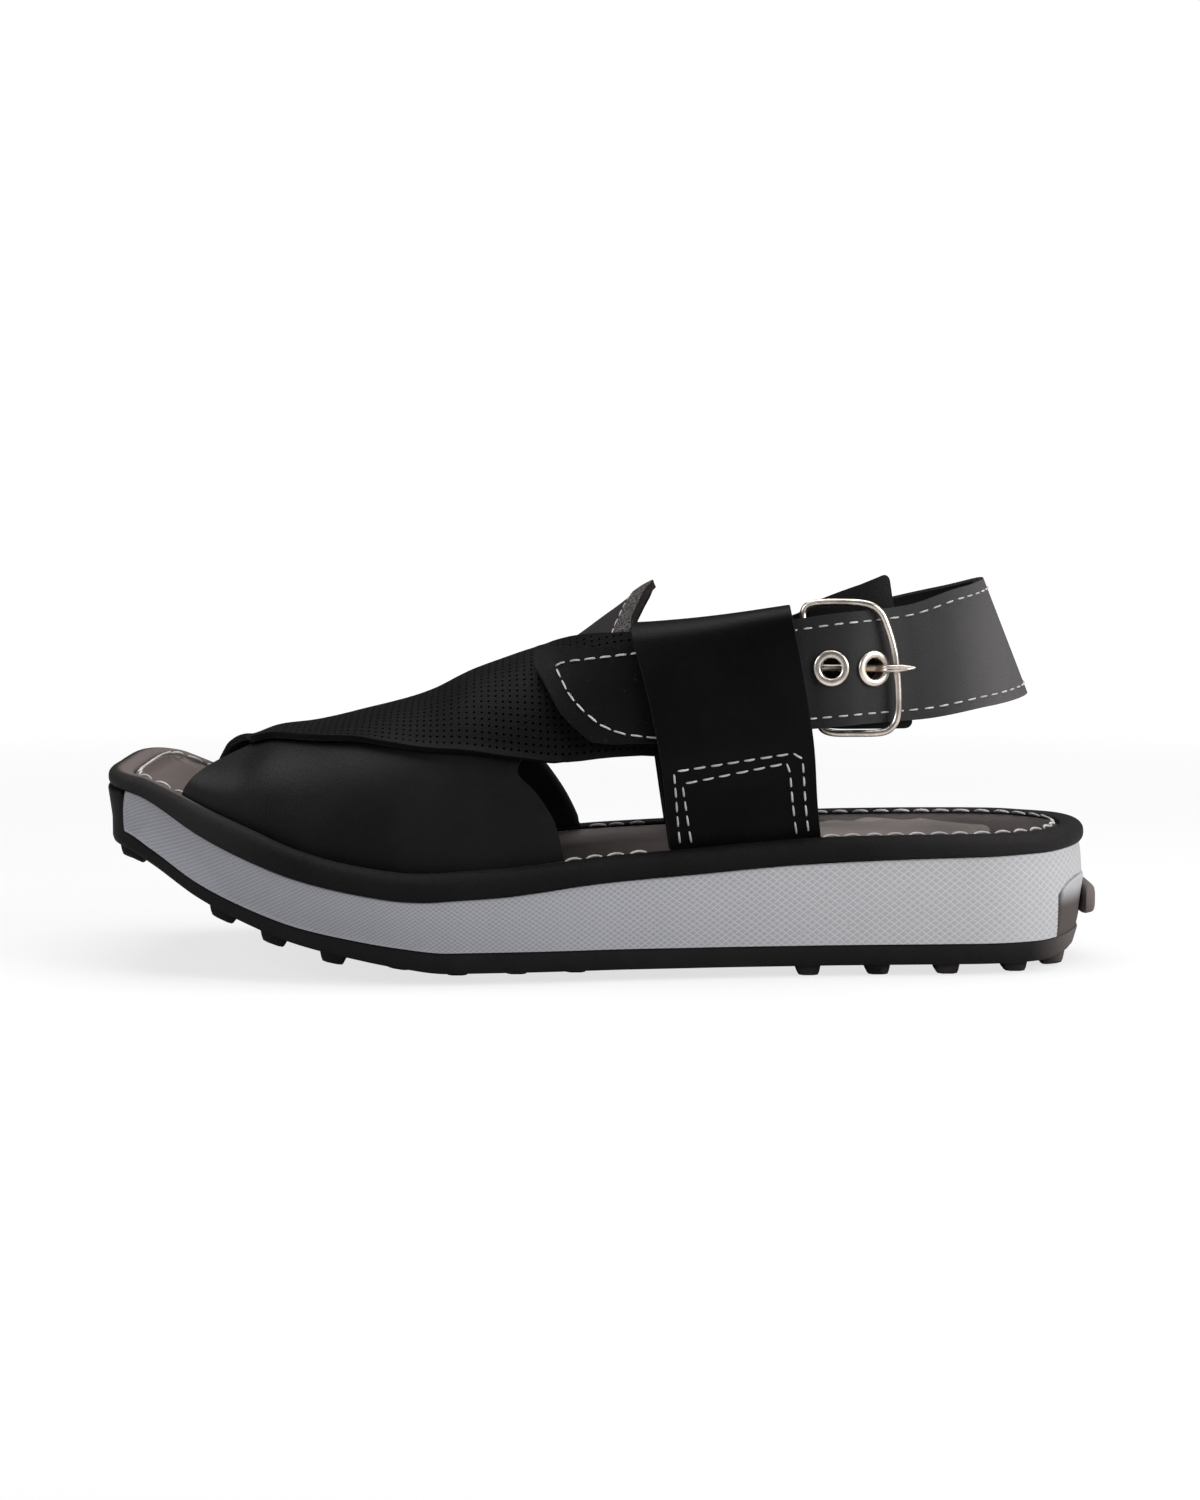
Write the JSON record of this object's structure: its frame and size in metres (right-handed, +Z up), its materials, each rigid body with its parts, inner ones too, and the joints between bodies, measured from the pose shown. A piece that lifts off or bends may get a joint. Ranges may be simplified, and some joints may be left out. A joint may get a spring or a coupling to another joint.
{
  "type": "peshawari chappal sandal",
  "caption": "Open-toe leather sandal with crossed bands over the foot, a buckled heel strap held in folded loops, and a thick foam platform on a lugged sole.",
  "frame": {"origin": "middle of the sandal's outer box, on the floor that it stands on", "axes": "+Z up, +X from the toe to the heel, -Y to the outer side of the foot, where the buckle is"},
  "size_m": [0.2868, 0.1063, 0.1142],
  "materials": {
    "rubber": "matt moulded black rubber",
    "foam": "light foam with a fine raised diamond pattern",
    "welt": "black rubber rim with a soft sheen",
    "footbed": "brown-grey smooth lining leather, stitched near its edge",
    "leather": "black full-grain leather with a satin sheen",
    "strap": "charcoal leather, stitched along both edges",
    "metal": "plated steel wire, slightly warm"
  },
  "bodies": {
    "root": {"outsole": "rubber", "midsole": "foam", "welt": "welt", "insole": "footbed", "upper": "leather", "loop_lateral": "leather", "loop_medial": "leather", "heel_strap": "strap", "buckle_base": "leather", "buckle_frame": "metal", "buckle_prong": "metal", "eyelet_1": "metal", "eyelet_2": "metal"}
  },
  "joints": []
}
